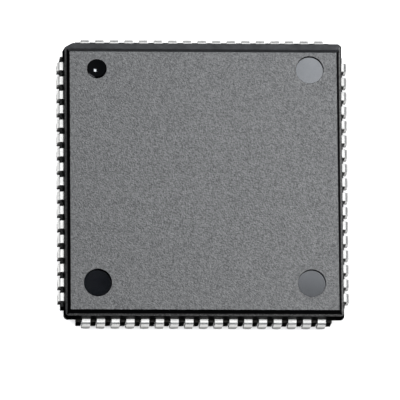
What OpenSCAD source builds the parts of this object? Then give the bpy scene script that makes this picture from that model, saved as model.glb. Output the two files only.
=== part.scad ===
// Square J-lead chip carrier: a moulded epoxy body with a row of J-leads on each side.
// Millimetres. Z = 0 is the seating plane under the leads, and the origin is under the
// middle of the body. +Y is the side of the index dimple, +Z is up.

/* [Leads] */
// Leads on each side
leads_per_side = 17; // [9:2:21]
// Distance between neighbouring leads
lead_pitch = 1.27; // [1.2:0.01:1.5]
// Width of a lead at its shoulder
lead_width = 0.72; // [0.5:0.01:0.8]
// Width of a lead at its foot
foot_width = 0.45; // [0.33:0.01:0.5]
// Thickness of the lead frame
lead_thickness = 0.25; // [0.19:0.01:0.3]
// How far the outer faces of the leads stand out from the body
lead_reach = 0.46; // [0.45:0.01:0.6]
// Height of the lead shoulders above the seating plane
shoulder_height = 2.7; // [2.4:0.05:3]
// Outer radius of the bend at the shoulder
shoulder_bend = 0.36; // [0.32:0.01:0.42]
// Outer radius of the J at the foot
foot_radius = 0.8; // [0.64:0.01:0.95]
// Straight end of the lead above the J
tip_rise = 0.25; // [0.1:0.05:0.4]
// Height over which a lead narrows to its foot
narrowing = 0.2; // [0.1:0.05:0.5]

/* [Body] */
// From the middle of the outer lead of a row to the end of the body
corner_margin = 1.955; // [1.8:0.005:2.3]
// Height of the top face above the seating plane
overall_height = 4.4; // [4.2:0.05:5]
// Height of the underside above the seating plane
standoff = 0.6; // [0.51:0.01:0.8]
// Radius of the body's three plain corners
corner_radius = 0.36; // [0.1:0.02:0.5]
// Bevel of the corner beside the index dimple
index_bevel = 0.75; // [0.5:0.05:1.2]
// Run of the wall below the top face
crown_run = 0.23; // [0.1:0.01:0.3]
// Run of the same wall on the index side
index_crown_run = 0.38; // [0.2:0.01:0.5]
// Drop of the wall below the top face
crown_drop = 0.6; // [0.4:0.05:1]
// Run of the sloping shoulder around the crown
ledge_run = 0.21; // [0.1:0.01:0.3]
// Run of the same shoulder on the index side
index_ledge_run = 0.53; // [0.2:0.01:0.6]
// Drop of the sloping shoulder
ledge_drop = 0.18; // [0.1:0.01:0.3]
// Run of the wall from the shoulder down to the mould's parting line
skirt_run = 0.1; // [0.05:0.01:0.2]
// Step in from the parting line to the lower half
lower_step = 0.1; // [0.05:0.01:0.2]
// Further run of the lower wall at the underside
lower_run = 0.2; // [0.1:0.01:0.3]

/* [Ribs] */
// How far the ribs between the leads stand out from the body
rib_reach = 0.22; // [0.1:0.01:0.42]
// Space between a rib and a lead
rib_clearance = 0.05; // [0.03:0.01:0.08]
// Top of the ribs below the lead shoulders
rib_top_drop = 0.1; // [0.05:0.01:0.2]
// Lower ends of the ribs above the underside
rib_foot = 0.05; // [0:0.01:0.5]
// Radius of the ribs' lower corners
rib_round = 0.14; // [0.05:0.01:0.16]

/* [Marks] */
// Distance of the round marks from the body's edges
mark_inset = 2.9; // [2.5:0.05:4]
// Distance of the two marks on the index side from that edge
index_mark_inset = 2.55; // [2.5:0.05:4]
// Diameter of the ejector marks
ejector_diameter = 2.38; // [1.5:0.02:2.6]
// Depth of the ejector marks
ejector_depth = 0.25; // [0.05:0.01:0.3]
// Diameter of the index dimple
dimple_diameter = 1.68; // [1:0.02:2]
// Depth of the index dimple
dimple_depth = 0.4; // [0.2:0.02:0.5]
// Distance of the ejector marks on the underside from the body's edges
lower_mark_inset = 4.6; // [4:0.1:5.5]
// Space around a lead tip in its pocket
pocket_clearance = 0.12; // [0.08:0.01:0.15]

/* [Inside] */
// Side of the silicon die
die_size = 6.6; // [5:0.1:7.5]
// Thickness of the die
die_thickness = 0.35; // [0.25:0.01:0.5]
// Thickness of the die attach film
attach_thickness = 0.03; // [0.02:0.01:0.05]
// Border of the paddle around the die
paddle_border = 1.2; // [0.8:0.05:1.5]
// How far the paddle is set down below the lead fingers
paddle_downset = 0.25; // [0.1:0.01:0.3]
// Width of the tie bars that carry the paddle
tie_bar_width = 0.3; // [0.2:0.01:0.35]
// Gap from the paddle to the lead fingers
finger_gap = 1.1; // [0.9:0.05:1.3]
// Gap between neighbouring finger tips
tip_gap = 0.25; // [0.15:0.01:0.3]
// Space between a tie bar and the nearest lead
tie_bar_clearance = 0.12; // [0.08:0.01:0.2]
// Distance of a wire's landing from the tip of its finger
wire_landing = 0.15; // [0.1:0.01:0.3]
// Diameter of a bond wire
wire_diameter = 0.033; // [0.025:0.001:0.05]
// Rise of a bond wire above the die
loop_height = 0.25; // [0.2:0.01:0.4]
// Distance of the bond pads from the die's edge
pad_inset = 0.12; // [0.1:0.01:0.2]

/* [Hidden] */
$fn = 48;
// Overlap that lets a cut break cleanly through a face
cut = 0.5;

// Turn of each side's row, from the front row
front = 0;
right = 90;
rear = 180;
left = 270;

last = leads_per_side - 1;
row_half = last * lead_pitch / 2;
body_half = row_half + corner_margin;
lead_out = body_half + lead_reach;

shoulder_under = shoulder_height - lead_thickness;
parting_z = shoulder_under;
narrow_bottom = foot_radius;
narrow_top = foot_radius + narrowing;
tip_outer = lead_out - 2 * foot_radius + lead_thickness;
tip_top = foot_radius + tip_rise;
// The leads run straight in as far as the tie bars allow
anchor_in = row_half + lead_width / 2 + sqrt(2) * (tie_bar_width / 2 + tie_bar_clearance);
shoulder_length = lead_out - (anchor_in + body_half) / 2;

crown_base = overall_height - crown_drop;
ledge_base = crown_base - ledge_drop;
rib_width = lead_pitch - lead_width - 2 * rib_clearance;
rib_zone = row_half + lead_pitch / 2 + rib_width / 2;
rib_top = shoulder_height - rib_top_drop;
rib_bottom = standoff + rib_foot;

mark_place = body_half - mark_inset;
index_mark_place = body_half - index_mark_inset;
lower_mark_place = body_half - lower_mark_inset;
dimple_sphere = (dimple_diameter ^ 2 / 4 + dimple_depth ^ 2) / (2 * dimple_depth);

paddle_top = shoulder_under - paddle_downset + lead_thickness;
attach_top = paddle_top + attach_thickness;
die_top = attach_top + die_thickness;
paddle_half = die_size / 2 + paddle_border;
finger_end = paddle_half + finger_gap;
// Finger tips leave the corner free for the tie bar
tip_row_half = finger_end - finger_gap + tie_bar_width / 2;
tip_pitch = 2 * tip_row_half / last;
tip_width = tip_pitch - tip_gap;
pad_pitch = (die_size - 4 * pad_inset) / last;
pad_place = die_size / 2 - pad_inset;

// Copies its children to each side of the body
module each_side() {
    for (turn = [front, right, rear, left]) rotate(turn) children();
}

// Stands a profile of distance from the middle and height upright, across the front side
module across_front(width) {
    rotate([0, 0, -90]) rotate([90, 0, 0]) linear_extrude(width, center = true) children();
}

// Upright strip of a side view, from its low corner to its high corner
module strip(low, high) {
    polygon([low, [high[0], low[1]], high, [low[0], high[1]]]);
}

// Quarter or half ring for a bend, kept inside the strip from low to high
module bend(centre, outer, low, high) {
    translate(centre) intersection() {
        difference() {
            circle(outer);
            circle(outer - lead_thickness);
        }
        strip(low, high);
    }
}

// Side view of the shoulder and the straight run of a lead, measured from its outer face
module shoulder_profile() {
    turn_z = shoulder_height - shoulder_bend;
    strip([-shoulder_length, shoulder_under], [-shoulder_bend, shoulder_height]);
    bend([-shoulder_bend, turn_z], shoulder_bend, [0, 0], [shoulder_bend, shoulder_bend]);
    strip([-lead_thickness, narrow_top], [0, turn_z]);
}

// Side view of the J and its tip, with a root that runs up into the narrowing stretch
module foot_profile() {
    bend([-foot_radius, foot_radius], foot_radius, [-foot_radius, -foot_radius], [foot_radius, 0]);
    strip([-lead_thickness, narrow_bottom], [0, narrow_bottom + narrowing / 2]);
    strip([-2 * foot_radius, foot_radius], [lead_thickness - 2 * foot_radius, tip_top]);
}

// Front view of the stretch where a lead narrows to its foot, with a root that runs up into the straight run
module narrowing_plate() {
    root = narrow_top + narrowing / 2;
    translate([0, -lead_out + lead_thickness, 0]) rotate([90, 0, 0]) linear_extrude(lead_thickness)
        polygon([
            [-foot_width / 2, narrow_bottom], [foot_width / 2, narrow_bottom],
            [lead_width / 2, narrow_top], [lead_width / 2, root],
            [-lead_width / 2, root], [-lead_width / 2, narrow_top]
        ]);
}

// Inner finger of the lead at place: straight in from the body's wall, then fanned in towards the die
module finger(place) {
    outer = (place - last / 2) * lead_pitch;
    tip = (place - last / 2) * tip_pitch;
    translate([0, 0, shoulder_under]) linear_extrude(lead_thickness)
        polygon([
            [outer - lead_width / 2, -body_half], [outer + lead_width / 2, -body_half],
            [outer + lead_width / 2, -anchor_in], [tip + tip_width / 2, -finger_end],
            [tip - tip_width / 2, -finger_end], [outer - lead_width / 2, -anchor_in]
        ]);
}

// One lead of the front row: finger, shoulder, straight run and J
module lead(place) {
    translate([(place - last / 2) * lead_pitch, 0, 0]) {
        across_front(lead_width) translate([lead_out, 0]) shoulder_profile();
        across_front(foot_width) translate([lead_out, 0]) foot_profile();
        narrowing_plate();
    }
    finger(place);
}

module lead_row() {
    for (place = [0:last]) lead(place);
}

// One bond wire of the front row: up from its pad on the die, then down to its finger
module bond_wire(place) {
    share = wire_landing / (anchor_in - finger_end);
    landing_pitch = tip_pitch + (lead_pitch - tip_pitch) * share;
    pad = [(place - last / 2) * pad_pitch, -pad_place, die_top];
    landing = [(place - last / 2) * landing_pitch, -finger_end - wire_landing, shoulder_height];
    crest = [pad[0], pad[1], die_top + loop_height];
    run = landing - crest;
    heading = atan2(run[1], run[0]);
    reach = norm([run[0], run[1]]);
    slope = atan2(reach, run[2]);
    translate(pad) cylinder(h = loop_height, d = wire_diameter, $fn = 6);
    intersection() {
        translate(crest) rotate([0, slope, heading]) translate([0, 0, -wire_diameter / 2])
            cylinder(h = norm(run) + cut, d = wire_diameter, $fn = 6);
        translate([-body_half, -body_half, shoulder_height]) cube(2 * body_half);
    }
}

module wire_row() {
    for (place = [0:last]) bond_wire(place);
}

// Plan of the body at the parting line: three round corners and the bevelled index corner
module body_plan() {
    difference() {
        translate([-body_half, -body_half]) square(2 * body_half);
        for (corner = [[1, 1], [1, -1], [-1, -1]])
            translate(corner * body_half) mirror([corner[0] < 0 ? 0 : 1, 0])
                mirror([0, corner[1] < 0 ? 0 : 1]) corner_waste();
        translate([-body_half, body_half]) rotate(45)
            square([4 * index_bevel, sqrt(2) * index_bevel], center = true);
    }
}

// What rounding takes off a corner at the origin, with the body towards +X and +Y
module corner_waste() {
    difference() {
        translate([-cut, -cut]) square(corner_radius + cut);
        translate([corner_radius, corner_radius]) circle(corner_radius);
    }
}

// Half section of the upper mould half, from the parting line up to the top face
function upper_edge(crown, ledge) = [
    [body_half, parting_z],
    [body_half - skirt_run, ledge_base],
    [body_half - skirt_run - ledge, crown_base],
    [body_half - skirt_run - ledge - crown, overall_height]
];

function mirrored(points) = [for (i = [len(points) - 1:-1:0]) [-points[i][0], points[i][1]]];

// Drafted block: the left-to-right section and the front-to-rear section, crossed
module crossed(left_right, front_rear) {
    intersection() {
        rotate([90, 0, 0]) linear_extrude(2 * body_half + cut, center = true) polygon(left_right);
        rotate([90, 0, 90]) linear_extrude(2 * body_half + cut, center = true) polygon(front_rear);
    }
}

module upper_half() {
    plain = upper_edge(crown_run, ledge_run);
    index = upper_edge(index_crown_run, index_ledge_run);
    intersection() {
        crossed(concat(plain, mirrored(plain)), concat(index, mirrored(plain)));
        linear_extrude(overall_height + cut) body_plan();
    }
}

module lower_half() {
    edge = [
        [body_half - lower_step - lower_run, standoff],
        [body_half - lower_step, parting_z]
    ];
    difference() {
        crossed(concat(edge, mirrored(edge)), concat(edge, mirrored(edge)));
        each_side() translate([rib_zone, rib_zone, standoff - cut])
            cube([corner_margin, corner_margin, parting_z - standoff + cut]);
    }
}

// One rib beside a lead, with round lower corners
module rib() {
    depth = rib_reach + lower_step + lower_run + cut;
    translate([0, -body_half - rib_reach + depth, 0]) rotate([90, 0, 0]) linear_extrude(depth) {
        translate([-rib_width / 2, rib_bottom + rib_round])
            square([rib_width, rib_top - rib_bottom - rib_round]);
        translate([-rib_width / 2 + rib_round, rib_bottom])
            square([rib_width - 2 * rib_round, rib_round]);
        for (side = [-1, 1])
            translate([side * (rib_width / 2 - rib_round), rib_bottom + rib_round]) circle(rib_round);
    }
}

module rib_row() {
    for (place = [0:leads_per_side]) translate([(place - leads_per_side / 2) * lead_pitch, 0, 0]) rib();
}

// Pockets in the underside that the lead tips curl up into
module pocket_row() {
    width = foot_width + 2 * pocket_clearance;
    depth = lead_thickness + 2 * pocket_clearance;
    for (place = [0:last])
        translate([(place - last / 2) * lead_pitch - width / 2, -tip_outer - pocket_clearance, 0])
            cube([width, depth, tip_top + pocket_clearance]);
}

// Shallow round mark of an ejector pin, cut down from the surface at the origin
module ejector_mark() {
    translate([0, 0, -ejector_depth]) cylinder(h = ejector_depth + cut, d = ejector_diameter);
}

module marks() {
    for (place = [[mark_place, index_mark_place], [mark_place, -mark_place], [-mark_place, -mark_place]])
        translate([place[0], place[1], overall_height]) ejector_mark();
    translate([-mark_place, index_mark_place, overall_height + dimple_sphere - dimple_depth])
        sphere(dimple_sphere);
    each_side() translate([lower_mark_place, lower_mark_place, standoff]) mirror([0, 0, 1])
        ejector_mark();
}

module moulded_body() {
    color([0.16, 0.16, 0.17]) difference() {
        union() {
            upper_half();
            lower_half();
            each_side() rib_row();
        }
        marks();
        each_side() pocket_row();
        each_side() lead_row();
        paddle_solid();
        attach_solid();
        die_solid();
        each_side() wire_row();
    }
}

// Paddle and tie bars, the bars cut flush with the body's corners
module paddle_solid() {
    paddle_under = paddle_top - lead_thickness;
    bar_start = paddle_half - tie_bar_width;
    bar_foot = sqrt(2) * (paddle_half + paddle_downset);
    bar_step = bar_foot + 2 * paddle_downset;
    bar_end = sqrt(2) * (body_half + cut);
    translate([-paddle_half, -paddle_half, paddle_under])
        cube([2 * paddle_half, 2 * paddle_half, lead_thickness]);
    intersection() {
        each_side() rotate(45) across_front(tie_bar_width)
            polygon([
                [sqrt(2) * bar_start, paddle_under], [bar_foot, paddle_under],
                [bar_step, shoulder_under], [bar_end, shoulder_under],
                [bar_end, shoulder_height], [bar_step, shoulder_height],
                [bar_foot, paddle_top], [sqrt(2) * bar_start, paddle_top]
            ]);
        upper_and_below();
    }
}

// Room that the tie bars may fill: the upper half, and straight down from it
module upper_and_below() {
    upper_half();
    translate([-body_half + corner_margin, -body_half + corner_margin, standoff])
        cube([2 * (body_half - corner_margin), 2 * (body_half - corner_margin), parting_z - standoff]);
}

module attach_solid() {
    translate([-die_size / 2, -die_size / 2, paddle_top]) cube([die_size, die_size, attach_thickness]);
}

module die_solid() {
    translate([-die_size / 2, -die_size / 2, attach_top]) cube([die_size, die_size, die_thickness]);
}

tin = [0.8, 0.8, 0.81];
gold = [0.83, 0.68, 0.3];

module leads_front() { color(tin) rotate(front) lead_row(); }
module leads_right() { color(tin) rotate(right) lead_row(); }
module leads_rear() { color(tin) rotate(rear) lead_row(); }
module leads_left() { color(tin) rotate(left) lead_row(); }

module die_paddle() { color([0.72, 0.45, 0.3]) paddle_solid(); }
module die_attach() { color([0.6, 0.6, 0.58]) attach_solid(); }
module silicon_die() { color([0.35, 0.38, 0.42]) die_solid(); }

module bond_wires_front() { color(gold) rotate(front) wire_row(); }
module bond_wires_right() { color(gold) rotate(right) wire_row(); }
module bond_wires_rear() { color(gold) rotate(rear) wire_row(); }
module bond_wires_left() { color(gold) rotate(left) wire_row(); }

moulded_body();
leads_front();
leads_right();
leads_rear();
leads_left();
die_paddle();
die_attach();
silicon_die();
bond_wires_front();
bond_wires_right();
bond_wires_rear();
bond_wires_left();
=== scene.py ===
import math

import bpy
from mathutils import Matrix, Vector


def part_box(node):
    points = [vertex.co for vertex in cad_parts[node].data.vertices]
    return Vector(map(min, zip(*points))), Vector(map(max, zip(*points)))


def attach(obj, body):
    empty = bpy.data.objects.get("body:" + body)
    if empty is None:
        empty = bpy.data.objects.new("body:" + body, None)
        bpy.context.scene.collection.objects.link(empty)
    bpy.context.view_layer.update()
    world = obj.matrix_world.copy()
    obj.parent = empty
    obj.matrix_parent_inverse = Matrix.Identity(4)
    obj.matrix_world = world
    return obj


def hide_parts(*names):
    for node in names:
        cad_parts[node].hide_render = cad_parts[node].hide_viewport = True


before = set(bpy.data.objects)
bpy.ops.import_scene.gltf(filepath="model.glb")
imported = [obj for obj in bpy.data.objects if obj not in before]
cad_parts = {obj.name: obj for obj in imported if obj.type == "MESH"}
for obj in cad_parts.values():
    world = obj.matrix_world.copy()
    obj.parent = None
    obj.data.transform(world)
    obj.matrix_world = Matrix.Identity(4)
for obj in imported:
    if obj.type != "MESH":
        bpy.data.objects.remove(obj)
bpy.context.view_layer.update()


# Camera
# A long lens looks almost straight down on the chip from the front, a little from the left.
# Its place is in millimetres and its turns are in degrees.
mm = 0.001
camera_place = Vector((-37.505, -119.596, 588.27)) * mm
camera_pitch = 11.369
camera_yaw = -3.638
camera_roll = -0.4764
camera_lens = 623.71
film_width = 36
nearest_seen = 0.01
bpy.ops.object.select_all(action="DESELECT")
bpy.ops.object.camera_add(location=camera_place)
camera = bpy.context.object
camera.rotation_mode = "ZXY"
camera.rotation_euler = [math.radians(turn) for turn in (camera_pitch, camera_yaw, camera_roll)]
camera.data.sensor_width = film_width
camera.data.lens = camera_lens
camera.data.clip_start = nearest_seen
bpy.context.scene.camera = camera


# Moulded body
# One block of black epoxy, moulded around the lead frame in a two-part steel mould. Its top and the
# narrow ledge round it come off blasted steel, and its walls and round marks off polished steel.
# It is modelled in millimetres and settled to metres when it is finished.
lead_pitch = 1.27
leads_per_side = 17
lead_width = 0.72
foot_width = 0.45
lead_thickness = 0.25
shoulder_height = 2.7
parting = shoulder_height - lead_thickness
row_half = (leads_per_side - 1) * lead_pitch / 2

body_low, body_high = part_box("moulded_body")
rib_reach = 0.22
top = body_high.z / mm
underside = body_low.z / mm
rib_out = body_high.x / mm
body_half = rib_out - rib_reach

corner_radius = 0.24
index_bevel_rear = 1.0
index_bevel_left = 0.6
crown_run = 0.23
index_crown_run = 0.38
crown_drop = 0.6
ledge_run = 0.16
index_ledge_run = 0.53
ledge_drop = 0.18
skirt_run = 0.15
index_skirt_run = 0.1
lower_step = 0.1
lower_run = 0.2
crown_base = top - crown_drop
ledge_base = crown_base - ledge_drop
sunk = 0.1
edge_round = 0.025
crease_angle = 28

sides = [Vector((0, -1, 0)), Vector((1, 0, 0)), Vector((0, 1, 0)), Vector((-1, 0, 0))]
index_side = sides[2]
up = Vector((0, 0, 1))


def only(piece):
    """Makes a piece the one selected and active object."""
    bpy.ops.object.select_all(action="DESELECT")
    piece.select_set(True)
    bpy.context.view_layer.objects.active = piece


def block(name, low, high):
    """Starts a solid as a cube between two corners, in millimetres."""
    bpy.ops.object.select_all(action="DESELECT")
    bpy.ops.mesh.primitive_cube_add(size=1, location=(Vector(low) + Vector(high)) / 2)
    piece = bpy.context.object
    piece.name = name
    piece.scale = Vector(high) - Vector(low)
    bpy.ops.object.transform_apply(location=True, rotation=True, scale=True)
    return piece


def edit(piece, kind, chosen):
    """Opens a piece for editing with only the faces or edges that pass a test selected."""
    only(piece)
    mesh = piece.data
    bpy.context.tool_settings.mesh_select_mode = (False, kind == "edges", kind == "faces")
    for group in (mesh.vertices, mesh.edges, mesh.polygons):
        group.foreach_set("select", [False] * len(group))
    if kind == "faces":
        for face in mesh.polygons:
            face.select = chosen(face.center, face.normal)
    else:
        for edge in mesh.edges:
            start, end = (mesh.vertices[corner].co for corner in edge.vertices)
            edge.select = chosen((start + end) / 2, (end - start).normalized())
    bpy.ops.object.mode_set(mode="EDIT")


def trim(piece, place, outward):
    """Cuts away what lies outside a plane and closes the cut."""
    edit(piece, "faces", lambda centre, normal: True)
    bpy.ops.mesh.bisect(
        plane_co=place, plane_no=outward, use_fill=True, clear_outer=True, threshold=1e-6)
    bpy.ops.object.mode_set(mode="OBJECT")


def draft(piece, side, low, high):
    """Trims one side to the slope between two points given as distance from the middle and height."""
    slope = side * (high[1] - low[1]) + up * (low[0] - high[0])
    trim(piece, side * low[0] + up * low[1], slope.normalized())


def fuse(piece, other, operation):
    """Joins another solid to a piece, or cuts it out, and uses it up."""
    only(piece)
    change = piece.modifiers.new("fuse", "BOOLEAN")
    change.operation = operation
    change.solver = "MANIFOLD"
    change.object = other
    bpy.ops.object.modifier_apply(modifier=change.name)
    bpy.data.objects.remove(other)


def repeat(piece, count, step):
    """Makes a row of copies of a piece along X, inside the one mesh."""
    only(piece)
    row = piece.modifiers.new("row", "ARRAY")
    row.count = count
    row.use_relative_offset = False
    row.use_constant_offset = True
    row.constant_offset_displace = (step, 0, 0)
    bpy.ops.object.modifier_apply(modifier=row.name)


def turned_copy(piece, turns):
    """Copies a piece with its own mesh and turns it round the chip by quarter turns."""
    only(piece)
    bpy.ops.object.duplicate()
    copy = bpy.context.object
    copy.rotation_euler = (0, 0, turns * math.pi / 2)
    bpy.ops.object.transform_apply(location=True, rotation=True, scale=True)
    return copy


def all_round(piece):
    """Copies a row to the other three sides and joins the four rows."""
    rows = [turned_copy(piece, turns) for turns in (1, 2, 3)]
    only(piece)
    for row in rows:
        row.select_set(True)
    bpy.ops.object.join()
    return piece


def soften(piece, width, angle):
    """Rounds the sharp edges a little, as tooling leaves them."""
    only(piece)
    edges = piece.modifiers.new("edges", "BEVEL")
    edges.width = width
    edges.segments = 2
    edges.limit_method = "ANGLE"
    edges.angle_limit = math.radians(angle)
    bpy.ops.object.modifier_apply(modifier=edges.name)


def lathe(name, profile, place, tilt=0):
    """Builds a round solid up from a disc, ring by ring of radius and height, and sets it in place."""
    (radius, height), *rings = profile
    bpy.ops.object.select_all(action="DESELECT")
    bpy.ops.mesh.primitive_circle_add(vertices=96, radius=radius, fill_type="NGON")
    piece = bpy.context.object
    piece.name = name
    bpy.ops.object.mode_set(mode="EDIT")
    bpy.ops.mesh.select_all(action="SELECT")
    bpy.ops.transform.translate(value=(0, 0, height))
    for wider, higher in rings:
        bpy.ops.mesh.extrude_region_move(TRANSFORM_OT_translate={"value": (0, 0, higher - height)})
        bpy.ops.transform.resize(value=(wider / radius, wider / radius, 1), center_override=(0, 0, 0))
        radius, height = wider, higher
    bpy.ops.mesh.select_all(action="SELECT")
    bpy.ops.mesh.normals_make_consistent(inside=False)
    bpy.ops.object.mode_set(mode="OBJECT")
    piece.location = place
    piece.rotation_euler = (tilt, 0, 0)
    bpy.ops.object.transform_apply(location=True, rotation=True, scale=True)
    return piece


def side_runs(side):
    """Gives how far the skirt, the ledge and the crown step in, which differs on the index side."""
    if side == index_side:
        return index_skirt_run, index_ledge_run, index_crown_run
    return skirt_run, ledge_run, crown_run


# The skirt and its ledge, from the parting line up into the crown
body = block(
    "moulded_body_skin",
    (-body_half, -body_half, parting),
    (body_half, body_half, crown_base + sunk),
)
for side in sides:
    skirt, ledge, run = side_runs(side)
    skirt_top = (body_half - skirt, ledge_base)
    draft(body, side, (body_half, parting), skirt_top)
    draft(body, side, skirt_top, (skirt_top[0] - ledge, crown_base))
bevel_facing = Vector((-index_bevel_left, index_bevel_rear, 0)).normalized()
trim(body, (index_bevel_rear - body_half, body_half, parting), bevel_facing)

# The three other corners, rounded
index_corner = Vector((-1, 1, 0))
edit(body, "edges", lambda place, run: abs(run.z) > 0.05 and place.dot(index_corner) < body_half)
bpy.ops.mesh.bevel(offset=corner_radius, segments=6, affect="EDGES")
bpy.ops.object.mode_set(mode="OBJECT")
soften(body, edge_round, crease_angle)

# The crown that carries the top face, with its foot sunk into the skirt
crown = block("crown", (-body_half, -body_half, ledge_base), (body_half, body_half, top))
for side in sides:
    skirt, ledge, run = side_runs(side)
    foot = body_half - skirt - ledge
    draft(crown, side, (foot, crown_base), (foot - run, top))
soften(crown, edge_round, crease_angle)
fuse(body, crown, "UNION")

# The lower half, two crossed blocks that leave the corners free
rib_clearance = 0.05
rib_width = lead_pitch - lead_width - 2 * rib_clearance
rib_zone = row_half + lead_pitch / 2 + rib_width / 2
lower_half = body_half - lower_step
for along in (0, 1):
    reach = Vector((rib_zone, lower_half, 0)) if along else Vector((lower_half, rib_zone, 0))
    bar = block("lower", -reach + up * underside, reach + up * (parting + sunk))
    for side in sides[1 - along::2]:
        draft(bar, side, (lower_half - lower_run, underside), (lower_half, parting))
    soften(bar, edge_round, crease_angle)
    fuse(body, bar, "UNION")

# The comb of ribs that stands between the leads
rib_drop = 0.1
rib_lift = 0.05
rib_rooting = 0.5
rib_round = 0.14
rib_edge_round = 0.8 * edge_round
rib_crease_angle = 40
comb_set_backs = (0, 0.17, 0.03, 0)
rib_top = shoulder_height - rib_drop
rib_bottom = underside + rib_lift
rib_root = lower_half - lower_run - rib_rooting
first_rib = -row_half - lead_pitch / 2
rib = block(
    "ribs",
    (first_rib - rib_width / 2, -rib_out, rib_bottom),
    (first_rib + rib_width / 2, -rib_root, rib_top),
)
edit(rib, "edges", lambda place, run: abs(run.y) > 0.9 and place.z < parting)
bpy.ops.mesh.bevel(offset=rib_round, segments=4, affect="EDGES")
bpy.ops.object.mode_set(mode="OBJECT")
soften(rib, rib_edge_round, rib_crease_angle)
repeat(rib, leads_per_side + 1, lead_pitch)
for turns, set_back in enumerate(comb_set_backs):
    comb = turned_copy(rib, turns)
    comb.location = -set_back * sides[turns]
    bpy.ops.object.transform_apply(location=True, rotation=True, scale=True)
    fuse(body, comb, "UNION")
bpy.data.objects.remove(rib)

# Pockets that the lead tips curl up into
lead_out = -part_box("leads_front")[0].y / mm
foot_radius = 0.8
tip_rise = 0.25
pocket_clearance = 0.12
tip_outer = lead_out - 2 * foot_radius + lead_thickness
pocket = block(
    "pockets",
    (-row_half - foot_width / 2 - pocket_clearance, -tip_outer - pocket_clearance, 0),
    (
        -row_half + foot_width / 2 + pocket_clearance,
        -tip_outer + lead_thickness + pocket_clearance,
        foot_radius + tip_rise + pocket_clearance,
    ),
)
repeat(pocket, leads_per_side, lead_pitch)
fuse(body, all_round(pocket), "DIFFERENCE")

# Round marks: three ejector pins and the index dimple on top, four ejector pins below
mark_inset = 2.9
index_mark_inset = 2.55
lower_mark_inset = 4.6
mark_place = body_half - mark_inset
index_mark_place = body_half - index_mark_inset
lower_mark_place = body_half - lower_mark_inset
mark_radius = 1.19
mark_depth = 0.25
dimple_radius = 0.84
dimple_depth = 0.4
bowl_rings = 24
bowl_share = 0.95
dimple_sphere = (dimple_radius ** 2 + dimple_depth ** 2) / (2 * dimple_depth)


def rim(radius, slope):
    """Rounded lip from a wall of a given slope out to a level face at height 0, and on above it."""
    lip_steps = 3
    turns = [slope * (1 - step / lip_steps) for step in range(lip_steps + 1)]
    start = radius - edge_round * math.tan(slope / 2)
    centre = start + edge_round * math.sin(slope)
    lip = [(centre - edge_round * math.sin(turn), edge_round * (math.cos(turn) - 1)) for turn in turns]
    return lip + [(lip[-1][0] + edge_round, sunk)]


pin = [(mark_radius, -mark_depth)] + rim(mark_radius + edge_round, math.pi / 2)
for x, y in ((mark_place, index_mark_place), (mark_place, -mark_place), (-mark_place, -mark_place)):
    fuse(body, lathe("pin", pin, (x, y, top)), "DIFFERENCE")
for x, y in ((1, 1), (1, -1), (-1, -1), (-1, 1)):
    place = (x * lower_mark_place, y * lower_mark_place, underside)
    fuse(body, lathe("pin", pin, place, math.pi), "DIFFERENCE")
dimple = Vector((-mark_place, index_mark_place, top + dimple_sphere - dimple_depth))
opening = math.asin(dimple_radius / dimple_sphere)
bowl_turns = [bowl_share * opening * ring / bowl_rings for ring in range(1, bowl_rings + 1)]
bowl = [
    (dimple_sphere * math.sin(turn), dimple_sphere * (1 - math.cos(turn)) - dimple_depth)
    for turn in bowl_turns
]
bowl += rim(dimple_radius + 0.5 * edge_round, opening)
fuse(body, lathe("dimple", bowl, (-mark_place, index_mark_place, top)), "DIFFERENCE")

# Openings where the cut tie bars of the lead frame show at the corners
tie_bar_width = 0.3
tie_bar_slack = 0.005
tie_bar_slot_depth = 1.9
corner_reach = math.sqrt(2) * body_half
for turns in range(4):
    slot = block(
        "tie_bar_slot",
        (-tie_bar_width / 2 - tie_bar_slack, -corner_reach, parting - tie_bar_slack),
        (
            tie_bar_width / 2 + tie_bar_slack,
            -corner_reach + tie_bar_slot_depth,
            shoulder_height + tie_bar_slack,
        ),
    )
    slot.rotation_euler = (0, 0, math.pi / 4 + turns * math.pi / 2)
    bpy.ops.object.transform_apply(location=True, rotation=True, scale=True)
    fuse(body, slot, "DIFFERENCE")


def settle(piece):
    """Brings a finished piece from millimetres to metres, with its place in its mesh."""
    only(piece)
    piece.scale = (mm, mm, mm)
    bpy.ops.object.transform_apply(location=True, rotation=True, scale=True)


def shade(piece, angle):
    """Smooths the shading over gentle edges and keeps the flats flat."""
    only(piece)
    bpy.ops.object.shade_smooth_by_angle(angle=math.radians(angle))
    flats = piece.modifiers.new("flats", "WEIGHTED_NORMAL")
    flats.keep_sharp = True
    bpy.ops.object.modifier_apply(modifier=flats.name)


body_smoothing = 35
shade(body, body_smoothing)


def finish(name, colour, roughness, specular=0.5, metallic=0.0):
    """Starts a material and returns it with its shader and its coordinates in millimetres."""
    material = bpy.data.materials.new(name)
    material.use_nodes = True
    nodes = material.node_tree.nodes
    shader = nodes["Principled BSDF"]
    shader.inputs["Base Color"].default_value = (*colour, 1)
    shader.inputs["Roughness"].default_value = roughness
    shader.inputs["Specular IOR Level"].default_value = specular
    shader.inputs["Metallic"].default_value = metallic
    place = nodes.new("ShaderNodeTexCoord")
    scale = nodes.new("ShaderNodeMapping")
    scale.inputs["Scale"].default_value = (1 / mm, 1 / mm, 1 / mm)
    material.node_tree.links.new(place.outputs["Object"], scale.inputs["Vector"])
    return material, shader, scale.outputs["Vector"]


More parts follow.
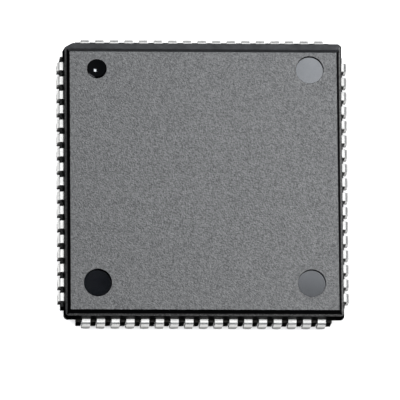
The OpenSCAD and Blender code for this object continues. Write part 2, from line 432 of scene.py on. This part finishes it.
def grain(material, vector, per_mm, detail, low, high):
    """Adds a noise of so many grains to the millimetre and returns it between two values."""
    nodes = material.node_tree.nodes
    noise = nodes.new("ShaderNodeTexNoise")
    noise.inputs["Scale"].default_value = per_mm
    noise.inputs["Detail"].default_value = detail
    span = nodes.new("ShaderNodeMapRange")
    span.inputs["From Min"].default_value = 0.3
    span.inputs["From Max"].default_value = 0.7
    span.inputs["To Min"].default_value = low
    span.inputs["To Max"].default_value = high
    material.node_tree.links.new(vector, noise.inputs["Vector"])
    material.node_tree.links.new(noise.outputs["Fac"], span.inputs["Value"])
    return span.outputs["Result"]


def tone(material, shader, factor, dark, light):
    """Lets a noise move the base colour between two tones."""
    mix = material.node_tree.nodes.new("ShaderNodeMix")
    mix.data_type = "RGBA"
    mix.inputs["A"].default_value = (*dark, 1)
    mix.inputs["B"].default_value = (*light, 1)
    material.node_tree.links.new(factor, mix.inputs["Factor"])
    material.node_tree.links.new(mix.outputs["Result"], shader.inputs["Base Color"])


def bumps(material, shader, height, depth):
    """Lets a noise raise the surface by a depth in millimetres."""
    bump = material.node_tree.nodes.new("ShaderNodeBump")
    bump.inputs["Strength"].default_value = 1
    bump.inputs["Distance"].default_value = depth * mm
    material.node_tree.links.new(height, bump.inputs["Height"])
    material.node_tree.links.new(bump.outputs["Normal"], shader.inputs["Normal"])


def blasted_epoxy():
    """Matt grey skin that the blasted mould leaves, with a grain of about a sixth of a millimetre."""
    material, shader, vector = finish("blasted_epoxy", (0.064, 0.063, 0.0615), 0.4, 0.2)
    fine = grain(material, vector, 6.5, 2, 0, 1)
    tone(material, shader, fine, (0.033, 0.0325, 0.0317), (0.0955, 0.094, 0.0917))
    bumps(material, shader, grain(material, vector, 8, 2, 0, 1), 0.018)
    return material


def polished_epoxy(name, colour, roughness, specular):
    """Black skin off polished steel, with faint flow marks in its gloss."""
    material, shader, vector = finish(name, colour, roughness, specular)
    flow = grain(material, vector, 0.6, 3, 0.8 * roughness, 1.25 * roughness)
    material.node_tree.links.new(flow, shader.inputs["Roughness"])
    tone(material, shader, grain(material, vector, 2.5, 4, 0, 1),
         [0.7 * part for part in colour], [1.3 * part for part in colour])
    return material


body.data.materials.clear()
for material in (
    polished_epoxy("polished_wall", (0.0022, 0.0022, 0.0023), 0.5, 0.1),
    blasted_epoxy(),
    polished_epoxy("pin_mark", (0.0014, 0.0018, 0.0026), 0.11, 0.15),
    polished_epoxy("index_dimple", (0.0008, 0.0008, 0.0008), 0.1, 0.4),
    polished_epoxy("rear_bevel", (0.0185, 0.0185, 0.0188), 0.4, 0.32),
    polished_epoxy("lower_mould", (0.0145, 0.014, 0.0125), 0.5, 0.12),
):
    body.data.materials.append(material)

# Each face's finish, told by its place and slope, with the finishes in the order given above
wall, matt, mark, dimple_bowl, rear_slope, lower_wall = range(6)
height_slack = 0.002
for face in body.data.polygons:
    x, y, z = face.center
    level = face.normal.z > 0.999
    in_dimple = (face.center - dimple).length < 1.01 * dimple_sphere
    on_ledge = ledge_base < z < crown_base and 0.5 < face.normal.z < 0.96
    at_rear = z > ledge_base and y > index_mark_place + mark_radius
    if in_dimple and z - top < -edge_round:
        face.material_index = dimple_bowl
    elif level and abs(z - top) < height_slack:
        face.material_index = matt
    elif level and abs(z - top + mark_depth) < height_slack:
        face.material_index = mark
    elif at_rear and face.normal.y > 0.2 and face.normal.z > 0.3:
        face.material_index = rear_slope
    elif on_ledge:
        face.material_index = matt
    elif z < parting or max(abs(x), abs(y)) > body_half:
        face.material_index = lower_wall
    else:
        face.material_index = wall
settle(body)
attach(body, "root")
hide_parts("moulded_body")


# Leads
# Seventeen strips of tin-plated copper alloy on each side, stamped from one sheet with the paddle,
# moulded in at their inner ends, bent down at the shoulder and curled under the body as a J.
shoulder_bend = 0.36
narrowing = 0.05
moulded_in = 1.0
lead_edge_round = 0.03
lead_crease_angle = 40
lead = block(
    "lead",
    (-row_half - lead_width / 2, -lead_out + shoulder_bend, parting),
    (-row_half + lead_width / 2, -body_half + moulded_in, shoulder_height),
)


def grow(lift, width):
    """Extrudes the open end of the lead straight and gives the new end its width."""
    bpy.ops.mesh.extrude_region_move(TRANSFORM_OT_translate={"value": (0, 0, lift)})
    bpy.ops.transform.resize(value=(width, 1, 1), center_override=(-row_half, 0, 0))


edit(lead, "faces", lambda centre, normal: normal.y < -0.9)
bpy.ops.mesh.spin(
    steps=8, angle=-math.pi / 2, axis=(1, 0, 0),
    center=(0, -lead_out + shoulder_bend, shoulder_height - shoulder_bend))
grow(foot_radius + narrowing - (shoulder_height - shoulder_bend), 1)
grow(-narrowing, foot_width / lead_width)
bpy.ops.mesh.spin(
    steps=16, angle=-math.pi, axis=(1, 0, 0), center=(0, -lead_out + foot_radius, foot_radius))
grow(tip_rise, 1)
bpy.ops.mesh.select_all(action="SELECT")
bpy.ops.mesh.remove_doubles(threshold=1e-5)
bpy.ops.mesh.normals_make_consistent(inside=False)
bpy.ops.object.mode_set(mode="OBJECT")
soften(lead, lead_edge_round, lead_crease_angle)
shade(lead, lead_crease_angle)
repeat(lead, leads_per_side, lead_pitch)


def tin_plate():
    """Satin tin with a fine crystal grain, uneven in patches, and with painted shade that darkens the
    leads low down.
    """
    # Painted shade: below 1.5 mm from the floor the tin colour is a dark grey. It blends back to the
    # full tin colour by 1.9 mm, standing in for the shade on the lower lead faces.
    lead_shade_below = 1.5
    lead_shade_ends_above = 1.9
    painted_shade_tin = (0.26, 0.26, 0.255)
    material, shader, vector = finish("tin_plate", (0.66, 0.66, 0.65), 0.6, 0.5, 1.0)
    patches = grain(material, vector, 1.7, 3, 0.36, 0.48)
    material.node_tree.links.new(patches, shader.inputs["Roughness"])
    tone(material, shader, grain(material, vector, 6, 4, 0, 1), (0.6, 0.6, 0.59), (0.72, 0.72, 0.71))
    bumps(material, shader, grain(material, vector, 25, 3, 0, 1), 0.0008)
    nodes = material.node_tree.nodes
    links = material.node_tree.links
    # The painted shade: height above the floor blends the base colour down to the dark grey.
    height = nodes.new("ShaderNodeSeparateXYZ")
    painted_shade_ramp = nodes.new("ShaderNodeMapRange")
    painted_shade_ramp.inputs["From Min"].default_value = lead_shade_below
    painted_shade_ramp.inputs["From Max"].default_value = lead_shade_ends_above
    painted_shade_mix = nodes.new("ShaderNodeMix")
    painted_shade_mix.data_type = "RGBA"
    painted_shade_mix.inputs["A"].default_value = (*painted_shade_tin, 1)
    links.new(vector, height.inputs["Vector"])
    links.new(height.outputs["Z"], painted_shade_ramp.inputs["Value"])
    links.new(painted_shade_ramp.outputs["Result"], painted_shade_mix.inputs["Factor"])
    links.new(shader.inputs["Base Color"].links[0].from_socket, painted_shade_mix.inputs["B"])
    links.new(painted_shade_mix.outputs["Result"], shader.inputs["Base Color"])
    return material


plated = tin_plate()
rows = []
for turns, node in enumerate(("leads_front", "leads_right", "leads_rear", "leads_left")):
    row = turned_copy(lead, turns)
    row.name = "plated_" + node
    row.data.materials.clear()
    row.data.materials.append(plated)
    settle(row)
    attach(row, "root")
    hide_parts(node)
    rows.append(row)
bpy.data.objects.remove(lead)


# Lead frame and chip
# Inside the moulding the silicon die is glued to the copper paddle, and gold wires run from its
# edge to the lead fingers. Only the cut ends of the tie bars show, at the corners.
def inner_finish(name, dark, light, roughness, metallic, per_mm):
    """Plain metal or film with a fine uneven tone."""
    material, shader, vector = finish(name, dark, roughness, 0.5, metallic)
    tone(material, shader, grain(material, vector, per_mm, 3, 0, 1), dark, light)
    return material


copper = inner_finish("bare_copper", (0.06, 0.052, 0.046), (0.1, 0.086, 0.076), 0.55, 1.0, 4)
film = inner_finish("attach_film", (0.35, 0.35, 0.34), (0.5, 0.5, 0.48), 0.6, 0.0, 5)
silicon = inner_finish("silicon", (0.1, 0.11, 0.14), (0.16, 0.17, 0.2), 0.2, 0.3, 3)
gold = inner_finish("gold_wire", (0.8, 0.55, 0.2), (0.95, 0.7, 0.3), 0.25, 1.0, 8)
inner = {"die_paddle": copper, "die_attach": film, "silicon_die": silicon}
inner.update({name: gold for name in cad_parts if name.startswith("bond_wires")})
for name, material in inner.items():
    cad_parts[name].data.materials.clear()
    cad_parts[name].data.materials.append(material)


# Floor and light
# The chip stands on a white table in a dim room. One soft lamp stands behind it to the right, and
# a small one at the right and a weak one at the left help it. The table and the leads are lit by
# panels of their own.
bpy.ops.object.select_all(action="DESELECT")
bpy.ops.mesh.primitive_plane_add(size=2, location=(0, 0, 0))
floor = bpy.context.object
floor.name = "floor"
table, table_shader, table_vector = finish("white_table", (0.9, 0.9, 0.9), 0.9, 0.1)
tone(table, table_shader, grain(table, table_vector, 0.02, 2, 0, 1), (0.88, 0.88, 0.88), (0.9, 0.9, 0.9))
floor.data.materials.append(table)
floor.visible_diffuse = False
floor.visible_glossy = False
floor.visible_shadow = False


def lamp(name, place, size, radiance, receivers, facing=None, colour=(1, 1, 1)):
    """Adds a soft rectangular lamp for some of the pieces, aimed at the chip unless told otherwise."""
    bpy.ops.object.select_all(action="DESELECT")
    turn = (facing or -Vector(place)).to_track_quat("-Z", "Y").to_euler()
    bpy.ops.object.light_add(type="AREA", location=Vector(place) * mm, rotation=turn)
    light = bpy.context.object
    light.name = name
    light.data.shape = "RECTANGLE"
    light.data.size = size[0] * mm
    light.data.size_y = size[1] * mm
    light.data.energy = radiance * math.pi * size[0] * size[1] * mm ** 2
    light.data.color = colour
    group = bpy.data.collections.new(name + "_receivers")
    for piece in receivers:
        group.objects.link(piece)
    light.light_linking.receiver_collection = group
    return light


cool = (0.96, 1, 1.06)
epoxy = [body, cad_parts["die_paddle"]]
lamp(
    "key_lamp", (86.5, 118.5, 300), size=(127, 143), radiance=29, receivers=epoxy,
    facing=-up, colour=cool)
side_lamp = lamp("side_lamp", (105, -20, 80), size=(60, 60), radiance=25, receivers=epoxy)
side_lamp.visible_glossy = False
fill_lamp = lamp("fill_lamp", (-150, 0, 40), size=(60, 60), radiance=6, receivers=epoxy)
fill_lamp.visible_glossy = False
lamp("ceiling_panel", (0, 0, 400), size=(700, 700), radiance=1.95, receivers=rows, facing=-up)
lamp("room_panel", (300, 420, 60), size=(900, 220), radiance=0.9, receivers=rows)
lamp("left_panel", (-420, 0, 60), size=(220, 700), radiance=0.9, receivers=rows[3:])

# Panels that stand for the light off the table, one under the outside of each row
panel_length = 2 * body_half
panel_depth = 40
panel_gap = 0.3
panel_drop = 0.01
for side, row in zip(sides, rows):
    size = (panel_length, panel_depth) if side.x == 0 else (panel_depth, panel_length)
    start = lead_out + panel_gap if side.x + side.y < 0 else body_half
    place = side * (start + panel_depth / 2) - up * panel_drop
    lamp("table_panel_" + row.name, place, size, radiance=1.15, receivers=[row], facing=up)
lamp("table_lamp", (0, 0, 600), size=(1600, 1600), radiance=3.2, receivers=[floor], facing=-up)

# The dim room, dark below the horizon
horizon = 0.1
room_strength = 0.1
world = bpy.data.worlds.new("dim_room")
world.use_nodes = True
nodes = world.node_tree.nodes
nodes["Background"].inputs["Color"].default_value = (0.85, 0.95, 1.1, 1)
sky = nodes.new("ShaderNodeTexCoord")
height = nodes.new("ShaderNodeSeparateXYZ")
span = nodes.new("ShaderNodeMapRange")
span.inputs["From Min"].default_value = -horizon
span.inputs["From Max"].default_value = horizon
span.inputs["To Min"].default_value = 0
span.inputs["To Max"].default_value = room_strength
world.node_tree.links.new(sky.outputs["Generated"], height.inputs["Vector"])
world.node_tree.links.new(height.outputs["Z"], span.inputs["Value"])
world.node_tree.links.new(span.outputs["Result"], nodes["Background"].inputs["Strength"])
scene = bpy.context.scene
scene.world = world
scene.view_settings.view_transform = "Standard"
scene.view_settings.look = "None"
